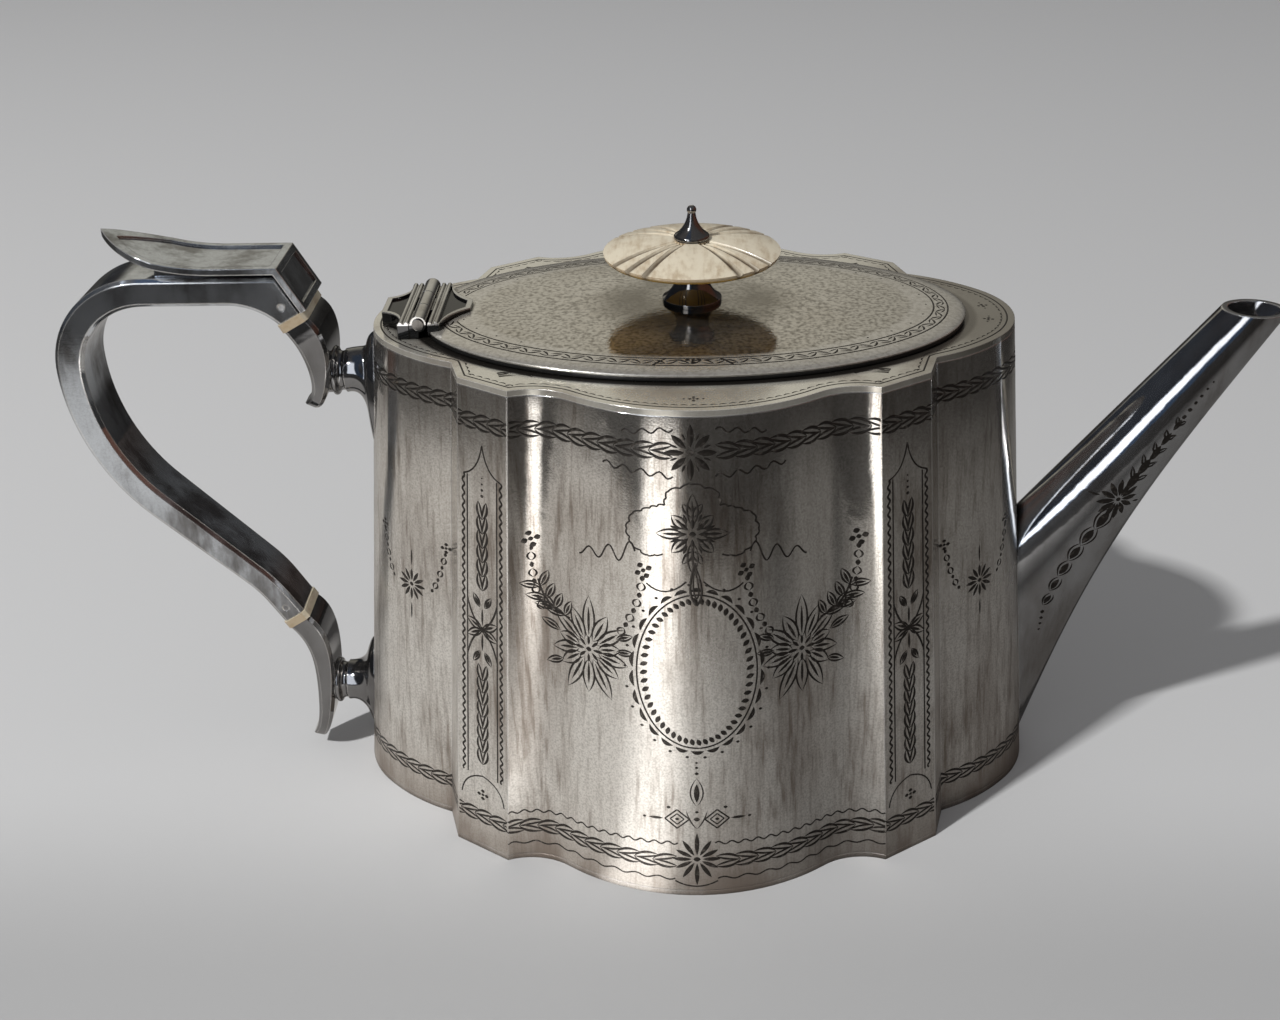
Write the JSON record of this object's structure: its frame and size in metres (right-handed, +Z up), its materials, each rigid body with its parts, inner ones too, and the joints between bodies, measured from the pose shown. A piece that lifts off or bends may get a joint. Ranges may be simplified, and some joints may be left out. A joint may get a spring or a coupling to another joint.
{
  "type": "teapot",
  "caption": "Shaped oval silver teapot with straight tapered spout, hinged flat lid, fluted ivory button and angular loop handle with ivory insulators.",
  "frame": {"origin": "centre of the flat base, on the table", "axes": "+X towards the spout, -X towards the handle, -Y is the front, +Z is up"},
  "size_m": [0.2638, 0.1158, 0.1343],
  "materials": {
    "silver": "aged silver, hand polished, engraved",
    "polished_silver": "polished silver",
    "dark_silver": "polished silver, darker with age",
    "pin_silver": "plain drawn silver",
    "ivory": "polished bone, yellowed"
  },
  "bodies": {
    "pot": {"body_wall": "silver", "base_plate": "silver", "top_plate": "silver", "mouth_collar": "silver", "spout": "polished_silver", "hinge_body_leaf": "silver", "hinge_pin": "pin_silver", "thumb_piece": "polished_silver", "upper_socket": "polished_silver", "upper_insulator": "ivory", "upper_insulator_pins": "pin_silver", "lower_socket": "polished_silver", "lower_insulator": "ivory", "lower_insulator_pins": "pin_silver", "handle_loop": "polished_silver", "upper_escutcheon": "polished_silver", "lower_escutcheon": "polished_silver"},
    "lid": {"lid_cover": "silver", "lid_bezel": "silver", "hinge_lid_leaf": "silver", "finial_stem": "dark_silver", "finial_button": "ivory", "finial_tip": "dark_silver", "finial_stud": "pin_silver", "finial_washer": "pin_silver", "finial_nut": "pin_silver"}
  },
  "joints": [
    {"name": "lid_hinge", "type": "hinge", "parent": "pot", "child": "lid", "pos_m": [-0.0572, 0, 0.1132], "axis": [0, -1, 0], "range_deg": [0, 105]}
  ]
}
